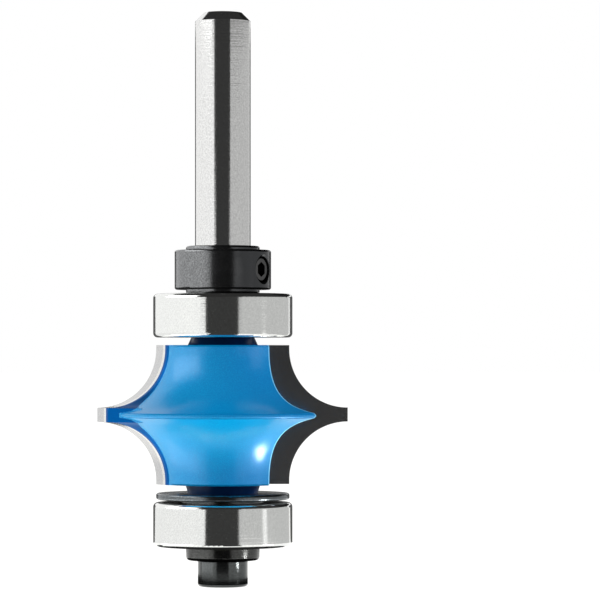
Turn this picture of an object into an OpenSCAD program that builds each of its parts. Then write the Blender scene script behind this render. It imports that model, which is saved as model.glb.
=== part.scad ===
// Router bit for edge rounding: a turned steel body with two wings, each with a
// brazed carbide tip ground to two coves that meet at a narrow central edge.
// A ball bearing runs above the cutter, held by a lock collar, and another one
// runs below it on the pilot, held by a washer and a cap screw.
// Millimetres. +Z is the tool's axis, towards the end of the shank, and the
// origin is the centre of the cap screw's end face. The right-hand cutting edge
// lies over +X, its rake face is the plane y = 0 and looks towards -Y, and the
// left-hand wing is the same form turned by half a turn.

/* [Shank] */
// Diameter of the ground shank, and of the pilot that carries the lower bearing
shank_d = 6.35; // [5.9:0.01:6.6]
// Length of shank that stands out of the lock collar
shank_l = 26.6; // [20:0.1:45]
// Chamfer on the end of the shank
shank_chamfer = 1; // [0.4:0.1:1.6]
// Depth of the relief groove in which the set screw bears
groove_depth = 0.2; // [0.16:0.01:0.4]

/* [Cutting form] */
// Diameter over the two cutting edges
edge_d = 28.58; // [26:0.01:32]
// Height of the straight edge between the two coves
edge_land = 1.6; // [0.8:0.1:3]
// Radius of each cove
cove_r = 6.7; // [5.6:0.1:7]
// Straight length of the form beyond each cove
end_land = 0.43; // [0.2:0.01:1.2]

/* [Steel body] */
// Distance by which the turned steel lies inside the cutting form
setback = 0.8; // [0.5:0.05:1.1]
// Diameter of the turned ridge between the coves
ridge_d = 24.8; // [22:0.1:25.4]
// Chamfer on the two edges of the ridge
ridge_chamfer = 0.15; // [0.05:0.05:0.2]
// Chamfer on the ends of the turned head
head_chamfer = 0.2; // [0.1:0.05:0.35]
// Diameter of the boss that seats the upper bearing
upper_boss_d = 7.2; // [7:0.1:8]
// Diameter of the upper boss where it meets the head
upper_boss_root_d = 8; // [8:0.1:9]
// Height of the upper boss
upper_boss_h = 0.87; // [0.5:0.01:2]
// Diameter of the boss that seats the spacer washer
lower_boss_d = 8; // [7.6:0.1:8.6]
// Diameter of the lower boss where it meets the head
lower_boss_root_d = 8.55; // [8:0.05:9]
// Height of the lower boss
lower_boss_h = 1; // [0.5:0.05:2]

/* [Chip gullets] */
// Distance from the axis to the floor of each gullet
gullet_floor = 4.9; // [4.6:0.1:5.2]
// Radius between the gullet's floor and its far wall
gullet_r = 3.6; // [2:0.1:4.5]
// Width of the gullet, from the rake face to the opposite wall
gullet_w = 7.15; // [5.5:0.05:7.5]

/* [Carbide tips] */
// Thickness of a tip, measured back from the rake face
tip_t = 1.6; // [1.2:0.1:2.2]
// Distance from the axis to the inner edge of a tip
tip_inner = 5.3; // [5.2:0.05:6.2]
// Relief angle ground on the tip and the strip of steel behind it
relief_angle = 24; // [18:1:30]
// Thickness of the braze round a tip's seat
braze_t = 0.15; // [0.05:0.01:0.25]
// Width of the strip of steel ground together with the tip
ground_w = 0.9; // [0.4:0.05:1.2]
// Relief angle of the steel wing behind that strip
back_angle = 49; // [45:1:56]
// Length of the steel wing behind that strip
back_l = 3.2; // [2.9:0.1:3.6]

/* [Ball bearings] */
// Outer diameter of both bearings
bearing_d = 15.875; // [15.4:0.005:17]
// Width of both bearings
bearing_w = 4.978; // [4.6:0.001:6]
// Corner radius of the rings
ring_corner = 0.5; // [0.1:0.05:0.7]
// Diameter of the balls
ball_d = 2.381; // [2:0.001:2.5]
// Number of balls in each bearing
ball_count = 8; // [6:1:9]
// Depth of the race cut into each ring
race_depth = 0.3; // [0.15:0.05:0.4]
// Radial width of the ball cage
cage_w = 0.8; // [0.5:0.05:1]
// Thickness of the cage's closed rim over the balls
cage_rim = 0.3; // [0.2:0.05:0.5]
// Thickness of the bearing shields
shield_t = 0.25; // [0.15:0.05:0.4]
// Depth of a shield below the face of the bearing
shield_inset = 0.1; // [0.05:0.05:0.25]
// Overlap of a shield in the outer ring's recess
shield_lip = 0.4; // [0.2:0.05:0.6]

/* [Lock collar] */
// Diameter of the collar
collar_d = 11; // [10:0.1:13]
// Height of the collar between its raised rings
collar_h = 4.5; // [4:0.1:7]
// Diameter of the raised ring on each face of the collar
collar_ring_d = 8.4; // [7.8:0.1:9]
// Height of each raised ring
collar_ring_h = 0.47; // [0.2:0.01:0.8]
// Rounding of the collar's edges
collar_round = 0.25; // [0.1:0.05:0.5]
// Rounding of the raised rings' edges
collar_ring_round = 0.25; // [0.1:0.05:0.4]
// Thread diameter of the set screw
set_screw_d = 3; // [2.6:0.1:3.4]
// Depth of the countersink round the set screw's hole
set_screw_sink = 0.2; // [0.1:0.05:0.3]
// Chamfer on the set screw's outer face
set_screw_chamfer = 0.25; // [0.1:0.05:0.3]
// Distance of the set screw's outer face below the collar's side
set_screw_inset = 0.35; // [0.2:0.05:0.6]
// Width across flats of the set screw's socket
set_screw_key = 1.5; // [0.9:0.1:1.7]
// Depth of the set screw's socket
set_screw_socket = 0.9; // [0.5:0.1:1.1]
// Direction of the set screw round the axis, in degrees from +X
set_screw_turn = -35; // [-180:1:180]

/* [Pilot end] */
// Diameter of the spacer washer
spacer_d = 15.2; // [13:0.1:15.6]
// Thickness of the spacer washer
spacer_t = 0.72; // [0.5:0.01:1.2]
// Rounding of the spacer washer's edges
spacer_round = 0.25; // [0.1:0.05:0.25]
// Diameter of the raised seat that meets the bearing's inner ring
spacer_seat_d = 8.4; // [7.6:0.1:9]
// Height of that raised seat
spacer_seat_h = 0.34; // [0.15:0.01:0.6]
// Diameter of the washer under the cap screw
washer_d = 8.37; // [7.4:0.01:9]
// Thickness of that washer
washer_t = 1.6; // [1:0.1:2.2]
// Rounding of its lower edge
washer_round = 0.4; // [0.1:0.05:0.6]
// Rounding of its upper edge
washer_top_round = 0.25; // [0.1:0.05:0.35]
// Gap between the end of the pilot and that washer, so that the screw clamps
pilot_short = 0.3; // [0.1:0.05:0.6]
// Thread diameter of the cap screw
screw_d = 3; // [2.5:0.1:3.5]
// Length of the cap screw under its head
screw_l = 8; // [6:0.5:12]
// Diameter of the cap screw's head
screw_head_d = 5.7; // [5:0.1:6.4]
// Height of the cap screw's head
screw_head_h = 3; // [2.4:0.1:4]
// Rounding of the edge of the head's end face
screw_round = 0.35; // [0.1:0.05:0.6]
// Rounding of the edge under the head
screw_under_round = 0.15; // [0.05:0.05:0.3]
// Width across flats of the head's socket
screw_key = 2.5; // [1.5:0.1:3]
// Depth of the head's socket
screw_socket = 1.5; // [0.8:0.1:1.8]

/* [Fits] */
// Radial clearance of rings, washers and collar on the shank and pilot
seat_gap = 0.01; // [0.005:0.005:0.03]
// Radial clearance of the plain stand-ins for screw threads
thread_gap = 0.02; // [0.01:0.01:0.05]
// Clearance between a ball and its races
ball_gap = 0.03; // [0.02:0.01:0.06]
// Clearance between a ball and its pocket in the cage
pocket_gap = 0.07; // [0.05:0.01:0.12]
// Radial clearance between a shield and the inner ring
shield_gap = 0.12; // [0.08:0.01:0.25]
// Radial clearance of the washer and the spare depth of the tapped hole
hole_gap = 0.1; // [0.05:0.05:0.3]

/* [Hidden] */
$fn = 96;

// Cuts run past the surface they open by this much
past = 1;

// Radii used throughout
shank_r = shank_d / 2;
bore_r = shank_r + seat_gap;
edge_r = edge_d / 2;
neck_r = edge_r - cove_r;

// Heights of the stack, from the cap screw's end face upwards
washer_z = screw_head_h;
lower_bearing_z = washer_z + washer_t;
spacer_seat_z = lower_bearing_z + bearing_w;
spacer_z = spacer_seat_z + spacer_seat_h;
lower_boss_z = spacer_z + spacer_t;
head_z = lower_boss_z + lower_boss_h;
head_h = edge_land + 2 * (cove_r + end_land);
upper_boss_z = head_z + head_h;
upper_bearing_z = upper_boss_z + upper_boss_h;
collar_z = upper_bearing_z + bearing_w;
collar_full_h = collar_h + 2 * collar_ring_h;
collar_top_z = collar_z + collar_full_h;
shank_end_z = collar_top_z + shank_l;
pilot_end_z = lower_bearing_z + pilot_short;
edge_z = head_z + head_h / 2;
ridge_up = edge_land / 2 + cove_r
  - sqrt(pow(cove_r + setback, 2) - pow((edge_d - ridge_d) / 2, 2));
set_screw_z = collar_z + collar_ring_h + collar_h / 2;

// The relief groove runs from just below the set screw to just inside the
// collar's upper face
groove_from_z = set_screw_z - set_screw_d / 2 - hole_gap;
groove_to_z = collar_top_z - hole_gap;

// Depths behind the rake plane at which the wing's layers change
braze_y = tip_t + braze_t;
ground_y = braze_y + ground_w;

// Inside the bearings
pitch_r = (bearing_d / 2 + bore_r) / 2;
race_r = ball_d / 2 + ball_gap;
inner_land_r = pitch_r - race_r + race_depth;
outer_land_r = pitch_r + race_r - race_depth;
shield_seat_r = outer_land_r + shield_lip;
shield_seat_h = shield_inset + shield_t;
pocket_r = ball_d / 2 + pocket_gap;
cage_drop = pocket_r * 0.6;

// Flat outlines: radius along X, height along Y

// Half-section of a disc between two radii, standing on the X axis
module section(inner_r, outer_r, h, z = 0) {
  translate([inner_r, z]) square([outer_r - inner_r, h]);
}

// A square corner's waste beyond a quarter round of radius r, whose corner
// point is the origin and whose material lies towards -X and -Y
module corner_waste(r) {
  translate([-r, -r]) difference() {
    square(r + past);
    circle(r);
  }
}

// Waste of a 45 degree chamfer at the origin
module chamfer_waste(size) {
  rotate(45) square(size * sqrt(2), center = true);
}

// Half-outline of the cutting form, centred on the edge's height. The waste of
// each cove is a circle and the strip beyond it, both grown by inset.
module form(outer_r, inset = 0) {
  difference() {
    translate([0, -head_h / 2]) square([outer_r, head_h]);
    for (side = [-1, 1]) scale([1, side]) {
      translate([edge_r, edge_land / 2 + cove_r]) circle(cove_r + inset);
      translate([neck_r - inset, edge_land / 2 + cove_r])
        square([edge_r, end_land + past]);
    }
  }
}

// Steel body

// Half-section of everything that is turned: pilot, bosses, head and shank
module turned_section() {
  section(0, shank_r, lower_boss_z - pilot_end_z, pilot_end_z);
  polygon([
    [0, lower_boss_z], [lower_boss_d / 2, lower_boss_z],
    [lower_boss_root_d / 2, head_z], [0, head_z]
  ]);
  translate([0, edge_z]) difference() {
    form(ridge_d / 2, setback);
    for (side = [-1, 1]) {
      translate([neck_r - setback, side * head_h / 2]) chamfer_waste(head_chamfer);
      translate([ridge_d / 2, side * ridge_up]) chamfer_waste(ridge_chamfer);
    }
  }
  polygon([
    [0, upper_boss_z], [upper_boss_root_d / 2, upper_boss_z],
    [upper_boss_d / 2, upper_bearing_z], [0, upper_bearing_z]
  ]);
  difference() {
    section(0, shank_r, shank_end_z - upper_bearing_z, upper_bearing_z);
    translate([shank_r, shank_end_z]) chamfer_waste(shank_chamfer);
    section(shank_r - groove_depth, edge_r, groove_to_z - groove_from_z, groove_from_z);
  }
}

// The cutting form swept back from the rake plane between two depths. It leans
// towards the axis by the given angle, and starts the given lead further in.
module swept_form(from_y, to_y, angle, lead) {
  translate([0, 0, edge_z])
    multmatrix([
      [1, -tan(angle), 0, tan(angle) * from_y - lead],
      [0, 1, 0, 0],
      [0, 0, 1, 0]
    ])
    translate([0, to_y, 0]) rotate([90, 0, 0])
      linear_extrude(to_y - from_y) form(edge_r);
}

// Lean of the ground relief at a depth behind the rake plane
function relief(depth) = tan(relief_angle) * depth;

// Room from a distance off the axis outwards, between two depths, over the head
module seat_room(from_x, from_y, to_y) {
  translate([from_x, from_y, head_z - past])
    cube([edge_d, to_y - from_y, head_h + 2 * past]);
}

// The steel of one wing behind its tip. Two swept forms cross at the depth
// ground_y: in front of it the one ground together with the tip lies further
// in, and behind it the steeper one does, which runs down into the turned head.
module wing_back() {
  steep_y = tip_t / 4;
  intersection() {
    swept_form(2 * steep_y, ground_y + back_l + steep_y, relief_angle, relief(2 * steep_y));
    swept_form(steep_y, ground_y + back_l, back_angle,
      relief(ground_y) - tan(back_angle) * (ground_y - steep_y));
  }
}

// Slot in front of one rake face, with a flat floor that turns into its far
// wall round a large radius
module gullet() {
  translate([0, 0, head_z - past]) linear_extrude(head_h + 2 * past) union() {
    translate([gullet_floor + gullet_r, gullet_r - gullet_w]) circle(gullet_r);
    translate([gullet_floor, gullet_r - gullet_w]) square([edge_d, gullet_w - gullet_r]);
    translate([gullet_floor + gullet_r, -gullet_w]) square([edge_d, gullet_w]);
  }
}

// Tapped hole for the cap screw, with its drill point
module tapped_hole() {
  hole_end_z = screw_head_h + screw_l + hole_gap;
  translate([0, 0, pilot_end_z - past])
    cylinder(d = screw_d, h = hole_end_z - pilot_end_z + past);
  translate([0, 0, hole_end_z]) cylinder(d1 = screw_d, d2 = 0, h = screw_d * 0.3);
}

module cutter_body() {
  color([0, 0.45, 0.78]) difference() {
    union() {
      rotate_extrude() turned_section();
      for (turn = [0, 180]) rotate(turn) wing_back();
    }
    for (turn = [0, 180]) rotate(turn) {
      gullet();
      seat_room(tip_inner - braze_t, -past, braze_y);
    }
    tapped_hole();
  }
}

// One carbide tip, from the rake plane back to its seat
module carbide_tip() {
  color([0.3, 0.3, 0.32]) intersection() {
    swept_form(0, tip_t, relief_angle, 0);
    seat_room(tip_inner, 0, tip_t);
  }
}

// The braze round one tip: a leg along its inner edge and a layer behind it
module braze_seam() {
  color([0.9, 0.88, 0.8]) difference() {
    intersection() {
      swept_form(0, braze_y, relief_angle, 0);
      seat_room(tip_inner - braze_t, 0, braze_y);
    }
    seat_room(tip_inner, -past, tip_t);
  }
}

// Ball bearing, standing on its lower face

module outer_ring() {
  color([0.85, 0.85, 0.86]) rotate_extrude() difference() {
    section(outer_land_r, bearing_d / 2, bearing_w);
    translate([bearing_d / 2, bearing_w]) corner_waste(ring_corner);
    translate([bearing_d / 2, 0]) scale([1, -1]) corner_waste(ring_corner);
    translate([pitch_r, bearing_w / 2]) circle(race_r);
    for (z = [-past, bearing_w - shield_seat_h])
      section(outer_land_r - past, shield_seat_r, shield_seat_h + past, z);
  }
}

module inner_ring() {
  color([0.8, 0.8, 0.82]) rotate_extrude() difference() {
    section(bore_r, inner_land_r, bearing_w);
    for (z = [0, bearing_w]) translate([bore_r, z]) chamfer_waste(ring_corner / 2);
    translate([pitch_r, bearing_w / 2]) circle(race_r);
  }
}

module ball_places() {
  for (i = [0 : ball_count - 1])
    rotate(i * 360 / ball_count) translate([pitch_r, 0, bearing_w / 2]) children();
}

module balls() {
  color([0.9, 0.9, 0.92]) ball_places() sphere(d = ball_d);
}

// Crown cage: a closed rim above the balls, with fingers that reach down
// between them to below their middle
module ball_cage() {
  color([0.75, 0.6, 0.25]) difference() {
    rotate_extrude()
      section(pitch_r - cage_w / 2, pitch_r + cage_w / 2,
        cage_drop + pocket_r + cage_rim, bearing_w / 2 - cage_drop);
    ball_places() sphere(r = pocket_r);
  }
}

module shield(z) {
  color([0.05, 0.05, 0.06]) translate([0, 0, z]) rotate_extrude()
    section(inner_land_r + shield_gap, shield_seat_r - seat_gap, shield_t);
}

module shield_bottom() {
  shield(shield_inset);
}

module shield_top() {
  shield(bearing_w - shield_seat_h);
}

// Lock collar

module lock_collar() {
  color([0.12, 0.12, 0.13]) translate([0, 0, collar_z]) difference() {
    rotate_extrude() {
      difference() {
        section(bore_r, collar_ring_d / 2, collar_full_h);
        translate([collar_ring_d / 2, collar_full_h]) corner_waste(collar_ring_round);
        translate([collar_ring_d / 2, 0]) scale([1, -1]) corner_waste(collar_ring_round);
      }
      translate([0, collar_ring_h]) difference() {
        section(bore_r, collar_d / 2, collar_h);
        translate([collar_d / 2, collar_h]) corner_waste(collar_round);
        translate([collar_d / 2, 0]) scale([1, -1]) corner_waste(collar_round);
      }
    }
    translate([0, 0, set_screw_z - collar_z]) rotate([0, 90, set_screw_turn]) {
      cylinder(d = set_screw_d, h = collar_d);
      translate([0, 0, collar_d / 2 - set_screw_sink])
        cylinder(d1 = set_screw_d, d2 = set_screw_d + 2 * past, h = past);
    }
  }
}

// Socket set screw, from the floor of the relief groove out to just inside the
// collar's side
module collar_set_screw() {
  from_r = shank_r - groove_depth + seat_gap;
  to_r = collar_d / 2 - set_screw_inset;
  thread_d = set_screw_d - 2 * thread_gap;
  point_h = set_screw_d / 4;
  end_h = to_r - from_r - set_screw_chamfer;
  color([0.08, 0.08, 0.09]) translate([0, 0, set_screw_z])
    rotate([0, 90, set_screw_turn]) translate([0, 0, from_r]) difference() {
      union() {
        cylinder(d1 = set_screw_d / 2, d2 = thread_d, h = point_h);
        translate([0, 0, point_h]) cylinder(d = thread_d, h = end_h - point_h);
        translate([0, 0, end_h])
          cylinder(d1 = thread_d, d2 = thread_d - 2 * set_screw_chamfer, h = set_screw_chamfer);
      }
      translate([0, 0, to_r - from_r - set_screw_socket])
        cylinder(d = set_screw_key / cos(30), h = set_screw_socket + past, $fn = 6);
    }
}

// Pilot end

// Disc nearly as wide as the bearing, with a raised seat that meets only the
// bearing's inner ring
module spacer_washer() {
  color([0.2, 0.2, 0.21]) translate([0, 0, spacer_z]) rotate_extrude() {
    section(bore_r, spacer_seat_d / 2, spacer_seat_h + spacer_t / 2, -spacer_seat_h);
    difference() {
      section(bore_r, spacer_d / 2, spacer_t);
      translate([spacer_d / 2, spacer_t]) corner_waste(spacer_round);
      translate([spacer_d / 2, 0]) scale([1, -1]) corner_waste(spacer_round);
    }
  }
}

module screw_washer() {
  color([0.12, 0.12, 0.13]) translate([0, 0, washer_z]) rotate_extrude() difference() {
    section(screw_d / 2 + hole_gap, washer_d / 2, washer_t);
    translate([washer_d / 2, 0]) scale([1, -1]) corner_waste(washer_round);
    translate([washer_d / 2, washer_t]) corner_waste(washer_top_round);
  }
}

// Socket cap screw, head downwards, with a plain cylinder for its thread
module cap_screw() {
  color([0.1, 0.1, 0.11]) difference() {
    union() {
      rotate_extrude() difference() {
        section(0, screw_head_d / 2, screw_head_h);
        translate([screw_head_d / 2, 0]) scale([1, -1]) corner_waste(screw_round);
        translate([screw_head_d / 2, screw_head_h]) corner_waste(screw_under_round);
      }
      translate([0, 0, screw_head_h])
        cylinder(d = screw_d - 2 * thread_gap, h = screw_l);
    }
    translate([0, 0, -past])
      cylinder(d = screw_key / cos(30), h = screw_socket + past, $fn = 6);
  }
}

cutter_body();
carbide_tip();  // carbide_tip_right
rotate(180) carbide_tip();  // carbide_tip_left
braze_seam();  // braze_seam_right
rotate(180) braze_seam();  // braze_seam_left

module at_upper() {
  translate([0, 0, upper_bearing_z]) children();
}

at_upper() outer_ring();  // upper_outer_ring
at_upper() inner_ring();  // upper_inner_ring
at_upper() balls();  // upper_balls
at_upper() ball_cage();  // upper_ball_cage
at_upper() shield_top();  // upper_shield_top
at_upper() shield_bottom();  // upper_shield_bottom
lock_collar();
collar_set_screw();

module at_lower() {
  translate([0, 0, lower_bearing_z]) children();
}

spacer_washer();
at_lower() outer_ring();  // lower_outer_ring
at_lower() inner_ring();  // lower_inner_ring
at_lower() balls();  // lower_balls
at_lower() ball_cage();  // lower_ball_cage
at_lower() shield_top();  // lower_shield_top
at_lower() shield_bottom();  // lower_shield_bottom
screw_washer();
cap_screw();
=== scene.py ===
import math

import bmesh
import bpy
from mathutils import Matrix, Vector


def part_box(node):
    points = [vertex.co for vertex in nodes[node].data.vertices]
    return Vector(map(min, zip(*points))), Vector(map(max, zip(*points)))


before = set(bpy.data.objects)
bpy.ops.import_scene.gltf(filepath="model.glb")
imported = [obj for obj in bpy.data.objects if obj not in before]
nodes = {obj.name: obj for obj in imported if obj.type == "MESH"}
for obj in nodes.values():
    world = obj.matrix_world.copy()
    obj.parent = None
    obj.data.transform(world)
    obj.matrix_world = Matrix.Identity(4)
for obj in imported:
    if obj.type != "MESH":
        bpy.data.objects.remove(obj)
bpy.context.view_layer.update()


# Steel cutter body
# One piece of tool steel, turned and then milled for its two gullets. The head
# is sprayed with a blue metallic enamel, the shank and the pilot are ground
# bare, and a strip behind each tip is ground bright together with the carbide.

def blank_finish(name):
    """A new material with one Principled shader; returns material and shader."""
    material = bpy.data.materials.new(name)
    material.use_nodes = True
    return material, material.node_tree.nodes["Principled BSDF"]


def dress(material, *names):
    """Puts a finish on the named pieces."""
    for name in names:
        for slot in nodes[name].material_slots:
            slot.material = material


def math_node(tree, operation, first, second=None):
    """A Math node whose inputs are sockets or numbers; returns its output."""
    node = tree.nodes.new("ShaderNodeMath")
    node.operation = operation
    for socket, value in zip(node.inputs, (first, second)):
        if value is None:
            continue
        if isinstance(value, (int, float)):
            socket.default_value = value
        else:
            tree.links.new(value, socket)
    return node.outputs[0]


def place_noise(tree, where, per_metre, detail):
    """A noise over a position; its value stays mostly near one half."""
    noise = tree.nodes.new("ShaderNodeTexNoise")
    noise.inputs["Scale"].default_value = per_metre
    noise.inputs["Detail"].default_value = detail
    tree.links.new(where, noise.inputs["Vector"])
    return noise.outputs["Fac"]


def make_grinding():
    """Rings round the tool's axis, as a wheel or a lathe leaves, and a mottle."""
    change_around = 60
    spots_per_metre = 7000
    group = bpy.data.node_groups.new("Ground rings", "ShaderNodeTree")
    face = group.interface
    face.new_socket("Vector", in_out="INPUT", socket_type="NodeSocketVector")
    face.new_socket("Rings per metre", in_out="INPUT", socket_type="NodeSocketFloat")
    face.new_socket("Height", in_out="OUTPUT", socket_type="NodeSocketFloat")
    face.new_socket("Mottle", in_out="OUTPUT", socket_type="NodeSocketFloat")
    source = group.nodes.new("NodeGroupInput")
    result = group.nodes.new("NodeGroupOutput")
    link = group.links.new
    split = group.nodes.new("ShaderNodeSeparateXYZ")
    link(source.outputs["Vector"], split.inputs[0])
    along = math_node(group, "MULTIPLY", split.outputs["Z"], source.outputs["Rings per metre"])
    join = group.nodes.new("ShaderNodeCombineXYZ")
    link(along, join.inputs["Z"])
    around = group.nodes.new("ShaderNodeVectorMath")
    around.operation = "MULTIPLY"
    around.inputs[1].default_value = (change_around, change_around, 0)
    link(source.outputs["Vector"], around.inputs[0])
    add = group.nodes.new("ShaderNodeVectorMath")
    add.operation = "ADD"
    link(join.outputs[0], add.inputs[0])
    link(around.outputs[0], add.inputs[1])
    link(place_noise(group, add.outputs[0], 1, 3), result.inputs["Height"])
    link(place_noise(group, source.outputs["Vector"], spots_per_metre, 2),
         result.inputs["Mottle"])
    return group


grinding = make_grinding()


def spread(tree, value, low, high, bottom=0.0, top=1.0):
    """Maps a value between low and high to one between bottom and top."""
    node = tree.nodes.new("ShaderNodeMapRange")
    node.inputs["From Min"].default_value = low
    node.inputs["From Max"].default_value = high
    node.inputs["To Min"].default_value = bottom
    node.inputs["To Max"].default_value = top
    tree.links.new(value, node.inputs["Value"])
    return node.outputs["Result"]


def mix_colours(tree, share, first, second):
    """A Mix node between two colours, each a socket or three numbers."""
    node = tree.nodes.new("ShaderNodeMix")
    node.data_type = "RGBA"
    tree.links.new(share, node.inputs["Factor"])
    for name, colour in (("A", first), ("B", second)):
        if isinstance(colour, tuple):
            node.inputs[name].default_value = (*colour, 1)
        else:
            tree.links.new(colour, node.inputs[name])
    return node.outputs["Result"]


# Nearly all of a noise lies between these two values.
noise_low = 0.35
noise_high = 0.65


def grind(material, shader, rings, depth, colour, mottle):
    """Adds grinding marks to a finish; returns its colour, which is mottled."""
    tallest_mark = 0.00002
    tree = material.node_tree
    place = tree.nodes.new("ShaderNodeTexCoord")
    marks = tree.nodes.new("ShaderNodeGroup")
    marks.node_tree = grinding
    marks.inputs["Rings per metre"].default_value = rings
    tree.links.new(place.outputs["Object"], marks.inputs["Vector"])
    bump = tree.nodes.new("ShaderNodeBump")
    bump.inputs["Strength"].default_value = depth
    bump.inputs["Distance"].default_value = tallest_mark
    tree.links.new(marks.outputs["Height"], bump.inputs["Height"])
    tree.links.new(bump.outputs["Normal"], shader.inputs["Normal"])
    spotted = spread(tree, marks.outputs["Mottle"], noise_low, noise_high)
    darker = tuple(c * (1 - mottle) for c in colour)
    lighter = tuple(min(1.0, c * (1 + mottle)) for c in colour)
    return mix_colours(tree, spotted, darker, lighter)


def grind_steel(name, colour, roughness, rings, depth=0.2, mottle=0.08):
    """A bare or blackened steel finish with its grinding marks."""
    material, shader = blank_finish(name)
    shader.inputs["Metallic"].default_value = 1
    shader.inputs["Roughness"].default_value = roughness
    colour = grind(material, shader, rings, depth, colour, mottle)
    material.node_tree.links.new(colour, shader.inputs["Base Color"])
    return material


def distance_to(tree, first, second):
    """How far off a point is, from its distances in two square directions."""
    return math_node(tree, "SQRT", math_node(
        tree, "ADD", math_node(tree, "MULTIPLY", first, first),
        math_node(tree, "MULTIPLY", second, second)))


def stands_proud(tree, x, y, z):
    """1 on the wings, which stand out of the turned head, and 0 on the head."""
    turned_cove = 0.0075
    ridge = 0.0124
    over_head = 0.00004
    wing_cove = 0.0079
    wing_widens = 0.07
    low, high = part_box("carbide_tip_right")
    edge = high[0]
    middle = (low[2] + high[2]) / 2
    out = distance_to(tree, x, y)
    up = math_node(tree, "ABSOLUTE", math_node(tree, "SUBTRACT", z, middle))
    to_centre = math_node(tree, "SUBTRACT", turned_cove, up)
    chord = math_node(tree, "SUBTRACT", turned_cove ** 2,
                      math_node(tree, "MULTIPLY", to_centre, to_centre))
    cove = math_node(tree, "SUBTRACT", edge, math_node(tree, "SQRT", chord))
    turned = math_node(tree, "MINIMUM", cove, ridge)
    over = math_node(tree, "GREATER_THAN", out, math_node(tree, "ADD", turned, over_head))
    aside = math_node(tree, "SUBTRACT", edge, math_node(tree, "ABSOLUTE", x))
    reach = math_node(tree, "ADD", wing_cove, math_node(tree, "MULTIPLY", up, wing_widens))
    ground = math_node(tree, "LESS_THAN", distance_to(tree, aside, to_centre), reach)
    return math_node(tree, "MULTIPLY", over, ground)


def gullet_lip_highlight(tree, x, y):
    """1 on a narrow line of the head beside each gullet, where a painted highlight stands for
    light caught on the edge.
    """
    corner = 0.0036
    corner_x = 0.0085
    corner_y = -0.00355
    lip_from = 0.00003
    lip_to = 0.00015
    side = math_node(tree, "MULTIPLY", math_node(tree, "SIGN", y), -1)
    across = math_node(tree, "SUBTRACT", math_node(tree, "MULTIPLY", x, side), corner_x)
    behind = math_node(tree, "MULTIPLY", math_node(tree, "ABSOLUTE", y), -1)
    behind = math_node(tree, "SUBTRACT", behind, corner_y)
    off = distance_to(tree, math_node(tree, "MINIMUM", across, 0),
                      math_node(tree, "MINIMUM", behind, 0))
    off = math_node(tree, "SUBTRACT", off, corner)
    return math_node(tree, "MULTIPLY", math_node(tree, "GREATER_THAN", off, lip_from),
                     math_node(tree, "LESS_THAN", off, lip_to))


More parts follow.
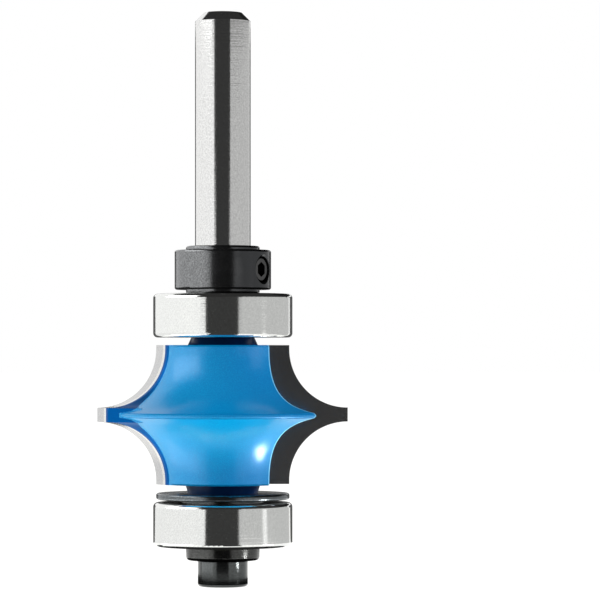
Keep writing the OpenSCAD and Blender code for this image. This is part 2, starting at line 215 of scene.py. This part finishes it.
def paint_cutter():
    """Enamel on the head and bare steel on the shank, the pilot and the strips, with painted
    shade on the bosses and the wings' backs and a painted highlight along the gullet lips.
    """
    enamel = (0.0, 0.19, 0.51)
    flake = (0.0, 0.31, 0.67)
    # Painted shade: the bosses next to the bearings are coloured nearly black, for the shadow
    # the bearings cast.
    boss_painted_shade = (0.0, 0.02, 0.1)
    # Painted shade: the wings' backs are coloured a darker blue than the enamel.
    wing_back_painted_shade = (0.0, 0.075, 0.29)
    # Painted highlight: a light blue line along each gullet lip, for light caught on the edge.
    lip_highlight = (0.2, 0.6, 0.9)
    bare = (0.81, 0.81, 0.8)
    lower_boss = 0.001
    upper_boss = 0.00087
    strip_to = 0.00215
    flakes_per_metre = 9000
    flakes_at_most = 0.6
    enamel_metal = 0.1
    wing_back_metal = 0.6
    enamel_roughness = 0.4
    bare_roughness = 0.1
    thinnest_coat = 0.6
    material, shader = blank_finish("Enamelled and ground steel")
    tree = material.node_tree
    link = tree.links.new
    steel = grind(material, shader, rings=9000, depth=0.25, colour=bare, mottle=0.11)

    place = tree.nodes.new("ShaderNodeTexCoord")
    split = tree.nodes.new("ShaderNodeSeparateXYZ")
    link(place.outputs["Object"], split.inputs[0])
    x, y, z = split.outputs
    pilot_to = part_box("spacer_washer")[1][2]
    shank_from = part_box("upper_inner_ring")[0][2]
    on_shank = math_node(tree, "GREATER_THAN", z, shank_from)
    on_pilot = math_node(tree, "LESS_THAN", z, pilot_to)
    over_head = math_node(tree, "GREATER_THAN", z, shank_from - upper_boss)
    under_head = math_node(tree, "LESS_THAN", z, pilot_to + lower_boss)
    proud = stands_proud(tree, x, y, z)
    near_seat = math_node(tree, "LESS_THAN", math_node(tree, "ABSOLUTE", y), strip_to)
    strip = math_node(tree, "MULTIPLY", proud, near_seat)
    is_bare = math_node(tree, "MAXIMUM", math_node(tree, "MAXIMUM", on_shank, on_pilot), strip)

    speckle = place_noise(tree, place.outputs["Object"], flakes_per_metre, 1)
    flakes = spread(tree, speckle, 0.45, 0.75, 0.0, flakes_at_most)
    colour = mix_colours(tree, flakes, enamel, flake)
    # Painted highlight along the gullet lips, for light caught on their edges.
    colour = mix_colours(tree, gullet_lip_highlight(tree, x, y), colour, lip_highlight)
    # Painted shade on the bosses above and below the head, where the bearings shadow them.
    colour = mix_colours(tree, math_node(tree, "MAXIMUM", over_head, under_head), colour, boss_painted_shade)
    # Painted shade on the wings' backs, which also carry no coat and are more metallic.
    colour = mix_colours(tree, proud, colour, wing_back_painted_shade)
    colour = mix_colours(tree, is_bare, colour, steel)
    link(colour, shader.inputs["Base Color"])

    metal = math_node(tree, "MAXIMUM", is_bare, math_node(tree, "MULTIPLY", proud, wing_back_metal))
    link(spread(tree, metal, 0, 1, enamel_metal, 1.0), shader.inputs["Metallic"])
    link(spread(tree, is_bare, 0, 1, enamel_roughness, bare_roughness),
         shader.inputs["Roughness"])
    painted = math_node(tree, "SUBTRACT", 1, math_node(tree, "MAXIMUM", is_bare, proud))
    grain = spread(tree, speckle, noise_low, noise_high, thinnest_coat, 1.0)
    link(math_node(tree, "MULTIPLY", painted, grain), shader.inputs["Coat Weight"])
    shader.inputs["Specular IOR Level"].default_value = 0.0
    shader.inputs["Coat IOR"].default_value = 1.55
    shader.inputs["Coat Roughness"].default_value = 0.27
    return material


dress(paint_cutter(), "cutter_body")


# Carbide tips
# Two slips of tungsten carbide, brazed into seats in front of the wings. Their
# rake faces and reliefs are ground, so they are grey and slightly grained.

dress(grind_steel("Ground carbide", (0.6, 0.6, 0.6), roughness=0.2, rings=30000, depth=0.15),
      "carbide_tip_right", "carbide_tip_left")


# Braze seams
# Silver solder that has flowed under and behind each tip. It is ground flush
# with the carbide, and shows as a bright line round it.

def smooth_metal(name, colour, roughness):
    """A plain metal finish without grinding marks."""
    material, shader = blank_finish(name)
    shader.inputs["Base Color"].default_value = (*colour, 1)
    shader.inputs["Metallic"].default_value = 1
    shader.inputs["Roughness"].default_value = roughness
    return material


dress(smooth_metal("Silver solder", (0.8, 0.78, 0.72), roughness=0.3),
      "braze_seam_right", "braze_seam_left")


# Ball bearings
# Two shielded bearings, one on the shank above the cutter and one on the pilot
# below it. Rings and balls are hardened and ground, the shields are black
# rubber moulded over sheet steel, and the ball cages are brass.

def mould_shields():
    """Black rubber with faint rings from its mould."""
    material, shader = blank_finish("Shield rubber")
    shader.inputs["Metallic"].default_value = 0
    shader.inputs["Roughness"].default_value = 0.6
    colour = grind(material, shader, rings=4000, depth=0.1, colour=(0.03, 0.03, 0.032),
                   mottle=0.15)
    material.node_tree.links.new(colour, shader.inputs["Base Color"])
    return material


ring_steel = grind_steel("Ground bearing steel", (0.86, 0.87, 0.85), roughness=0.09,
                         rings=12000, mottle=0.07)
ball_steel = smooth_metal("Polished balls", (0.85, 0.85, 0.86), roughness=0.05)
shield_rubber = mould_shields()
cage_brass = smooth_metal("Brass cages", (0.6, 0.42, 0.14), roughness=0.3)
for end in ("upper", "lower"):
    dress(ring_steel, end + "_outer_ring", end + "_inner_ring")
    dress(ball_steel, end + "_balls")
    dress(cage_brass, end + "_ball_cage")
    dress(shield_rubber, end + "_shield_top", end + "_shield_bottom")


# Lock collar and its set screw
# A turned collar with a low ring on each face, blackened by hot oxide. The set
# screw in its side bears in the shank and keeps the bearing down on its boss.

def blacken_collar():
    """Hot oxide with a painted reflection on its left side and painted shade on its right,
    meeting along a boundary that wanders in soft patches.
    """
    # The light colour is a painted reflection and the dark colour is painted shade.
    light = (0.23, 0.235, 0.24)
    dark = (0.07, 0.072, 0.075)
    patches_per_metre = 450
    patches_wander = 0.002
    shade_from = -0.0002
    shade_to = 0.003
    material, shader = blank_finish("Oxidised collar")
    tree = material.node_tree
    shader.inputs["Metallic"].default_value = 1
    shader.inputs["Roughness"].default_value = 0.2
    lighter = grind(material, shader, rings=7000, depth=0.2, colour=light, mottle=0.3)
    place = tree.nodes.new("ShaderNodeTexCoord")
    split = tree.nodes.new("ShaderNodeSeparateXYZ")
    tree.links.new(place.outputs["Object"], split.inputs[0])
    patches = place_noise(tree, place.outputs["Object"], patches_per_metre, 2)
    shift = math_node(tree, "MULTIPLY", patches, patches_wander)
    across = math_node(tree, "ADD", split.outputs["X"], shift)
    share = spread(tree, across, shade_from, shade_to)
    # Painted light and shade: lighter towards -x, darker towards +x.
    tree.links.new(mix_colours(tree, share, lighter, dark), shader.inputs["Base Color"])
    return material


dress(blacken_collar(), "lock_collar")
dress(grind_steel("Oxidised set screw", (0.1, 0.1, 0.1), roughness=0.3, rings=3000),
      "collar_set_screw")


# Spacer washer
# A thin turned and hardened washer between the head and the lower bearing, with
# a raised seat under it. It keeps the dark grey skin of its heat treatment.

dress(grind_steel("Hardened washer", (0.15, 0.165, 0.175), roughness=0.22, rings=9000,
                  mottle=0.4), "spacer_washer")


# Screw washer and cap screw
# A thick turned washer and a socket cap screw that clamp the lower bearing.
# Both are blackened, and the screw's head is a little smoother than the washer.

dress(grind_steel("Oxidised washer", (0.066, 0.067, 0.065), roughness=0.2, rings=8000,
                  mottle=0.3), "screw_washer")
dress(grind_steel("Oxidised cap screw", (0.075, 0.08, 0.08), roughness=0.15, rings=5000,
                  mottle=0.2), "cap_screw")


# Studio
# The tool stands on a white sheet, and a long lens looks level at it. Two soft
# lights and the sheet's own light fall on the paint, and cards that only show
# in reflections put the bright and dark streaks on the steel and the enamel.

def look_along(obj, target):
    """Turns a lamp or a camera to face a point."""
    direction = Vector(target) - obj.location
    obj.rotation_euler = direction.to_track_quat("-Z", "Y").to_euler()


def set_camera():
    """The camera, a little to the tool's right; returns its two directions."""
    turn = math.radians(4.0)
    distance = 0.384
    aside = 0.0088
    eye = 0.0266
    forward = Vector((math.sin(turn), math.cos(turn), 0))
    right = Vector((math.cos(turn), -math.sin(turn), 0))
    data = bpy.data.cameras.new("Camera")
    data.lens = 202
    data.sensor_width = 36
    data.shift_y = 0.0883
    data.clip_start = 0.01
    camera = bpy.data.objects.new("Camera", data)
    bpy.context.collection.objects.link(camera)
    camera.location = right * aside - forward * distance + Vector((0, 0, eye))
    look_along(camera, camera.location + forward)
    bpy.context.scene.camera = camera
    return forward, right


forward, right = set_camera()


def toward(azimuth):
    """A direction, azimuth degrees round from the camera's side to its right."""
    turn = math.radians(azimuth)
    return right * math.sin(turn) - forward * math.cos(turn)


def seen_ray(tree):
    """1 for the rays that show the backdrop: camera, glossy and transmission."""
    path = tree.nodes.new("ShaderNodeLightPath")
    mirrored = math_node(tree, "MAXIMUM", path.outputs["Is Glossy Ray"],
                         path.outputs["Is Transmission Ray"])
    return math_node(tree, "MAXIMUM", path.outputs["Is Camera Ray"], mirrored)


def light_world():
    """A white backdrop that gives only part of its light to the tool."""
    fill = 0.55
    world = bpy.data.worlds.new("Studio")
    bpy.context.scene.world = world
    world.use_nodes = True
    tree = world.node_tree
    background = tree.nodes["Background"]
    background.inputs["Color"].default_value = (1, 1, 1, 1)
    level = spread(tree, seen_ray(tree), 0, 1, fill, 1)
    tree.links.new(level, background.inputs["Strength"])


def lay_floor():
    """A white sheet that glows nearly as brightly as the backdrop behind it."""
    sheet = 0.85
    glow_strength = 1.24
    glow_share = 0.75
    material = bpy.data.materials.new("White sheet")
    material.use_nodes = True
    tree = material.node_tree
    tree.nodes.clear()
    out = tree.nodes.new("ShaderNodeOutputMaterial")
    matt = tree.nodes.new("ShaderNodeBsdfDiffuse")
    matt.inputs["Color"].default_value = (sheet, sheet, sheet, 1)
    glow = tree.nodes.new("ShaderNodeEmission")
    glow.inputs["Strength"].default_value = glow_strength
    mix = tree.nodes.new("ShaderNodeMixShader")
    share = math_node(tree, "MULTIPLY", seen_ray(tree), glow_share)
    tree.links.new(share, mix.inputs["Fac"])
    tree.links.new(matt.outputs[0], mix.inputs[1])
    tree.links.new(glow.outputs[0], mix.inputs[2])
    tree.links.new(mix.outputs[0], out.inputs["Surface"])
    bpy.ops.mesh.primitive_plane_add(size=8, location=(0, 0, 0))
    floor = bpy.context.object
    floor.name = "floor"
    floor.data.materials.append(material)


def hang_light(name, azimuth, height, distance, width, tall, power, colour):
    """A soft box that lights the paint and never shows in the steel."""
    aimed_at = (0, 0, 0.03)
    data = bpy.data.lights.new(name, "AREA")
    data.shape = "RECTANGLE"
    data.size = width
    data.size_y = tall
    data.energy = power
    data.color = colour
    lamp = bpy.data.objects.new(name, data)
    bpy.context.collection.objects.link(lamp)
    lamp.location = toward(azimuth) * distance + Vector((0, 0, height))
    look_along(lamp, aimed_at)
    lamp.visible_glossy = False


def light_from_below():
    """The sheet throws light up under the head and its ridge, all round."""
    lamps = 12
    out = 0.0092
    height = 0.0008
    size = 0.003
    power = 0.0015
    colour = (1, 1, 0.68)
    for number in range(lamps):
        turn = 2 * math.pi * number / lamps
        data = bpy.data.lights.new("Light from the sheet", "AREA")
        data.size = size
        data.energy = power
        data.color = colour
        lamp = bpy.data.objects.new("Light from the sheet", data)
        bpy.context.collection.objects.link(lamp)
        lamp.location = (out * math.cos(turn), out * math.sin(turn), height)
        look_along(lamp, lamp.location + Vector((0, 0, 1)))
        lamp.visible_glossy = False


def show_in_reflections(name, mesh, shade):
    """Makes a mesh a card that glows evenly and is seen only in reflections."""
    card = bpy.data.objects.new(name, mesh)
    bpy.context.collection.objects.link(card)
    material = bpy.data.materials.new(name)
    material.use_nodes = True
    tree = material.node_tree
    tree.nodes.clear()
    glow = tree.nodes.new("ShaderNodeEmission")
    glow.inputs["Color"].default_value = (1, 1, 1, 1)
    glow.inputs["Strength"].default_value = shade
    out = tree.nodes.new("ShaderNodeOutputMaterial")
    tree.links.new(glow.outputs[0], out.inputs["Surface"])
    mesh.materials.append(material)
    card.visible_camera = False
    card.visible_diffuse = False
    card.visible_shadow = False


def hang_card(name, start, end, shade, places):
    """A card bent round the tool from one azimuth to another, through places
    that are given as distances from the axis and heights over the floor."""
    bends = 16
    ring = bmesh.new()
    side = toward(start)
    points = [ring.verts.new(side * out + Vector((0, 0, up))) for out, up in places]
    edges = [ring.edges.new(pair) for pair in zip(points, points[1:])]
    bmesh.ops.spin(ring, geom=points + edges, cent=(0, 0, 0), axis=(0, 0, 1),
                   angle=math.radians(end - start), steps=bends)
    mesh = bpy.data.meshes.new(name)
    ring.to_mesh(mesh)
    ring.free()
    show_in_reflections(name, mesh, shade)


def hang_spark():
    """The small bright lamp whose glint shows on the lower cove."""
    radius = 0.0019
    wider = 1.6
    strength = 95
    disc = bmesh.new()
    bmesh.ops.create_circle(disc, cap_ends=True, radius=radius, segments=24)
    bmesh.ops.scale(disc, verts=disc.verts, vec=(wider, 1, 1))
    spot = right * 0.0196 - forward * 0.0073 + Vector((0, 0, 0.0015))
    bmesh.ops.translate(disc, verts=disc.verts, vec=spot)
    mesh = bpy.data.meshes.new("Spark")
    disc.to_mesh(mesh)
    disc.free()
    show_in_reflections("Spark", mesh, strength)


light_world()
lay_floor()
hang_light("Large soft box", azimuth=-75, height=0.25, distance=0.7, width=0.7, tall=0.6,
           power=7, colour=(1, 1, 0.75))
hang_light("Small soft box", azimuth=70, height=0.15, distance=0.7, width=0.3, tall=0.4,
           power=3, colour=(1, 1, 1))
light_from_below()

# Heights of the cards that lie on the sheet, so that none shares a plane.
shadow_layer = 0.0003
card_layer = 0.0004
glow_layer = 0.0006
strip_layer = 0.0008

hang_card("Dark card", -27, 27, 0.042, [(0.016, card_layer), (0.6, card_layer), (0.6, 0.9)])
hang_card("Dark upper card", -34.5, 32, 0.042, [(0.59, 0.06), (0.59, 0.13)])
hang_card("Dark hood", -42, 145, 0.03, [(0.58, 0.13), (0.58, 0.6), (0.01, 0.7)])
hang_card("Dark ceiling", 0, 360, 0.03, [(0.57, 0.56), (0.005, 0.68)])
hang_card("White card", -148, -27, 0.93, [(0.05, card_layer), (0.7, card_layer)])
hang_card("Soft box at the left", -106, -46, 3.0, [(0.55, 0.14), (0.55, 0.42)])
hang_card("Its glow on the floor", -106, -42, 2.6, [(0.02, glow_layer), (0.045, glow_layer)])
hang_card("Grey card", 27, 142, 0.56, [(0.06, card_layer), (0.8, card_layer), (0.8, 0.5)])
hang_card("Back card", 148, 212, 0.1, [(0.06, card_layer), (0.9, card_layer), (0.9, 0.15)])
hang_card("Dark back", 120, 188, 0.015, [(0.56, 0.15), (0.56, 0.57)])
hang_card("Strip light", 69, 77, 1.0,
          [(0.06, strip_layer), (0.7, strip_layer), (0.7, 0.02)])
hang_card("Shadow under the tool", 0, 360, 0.02,
          [(0.0005, shadow_layer), (0.012, shadow_layer)])
hang_card("Shadow under the wing", -170, -100, 0.03,
          [(0.009, shadow_layer), (0.0165, shadow_layer)])
hang_spark()

view = bpy.context.scene.view_settings
view.view_transform = "Standard"
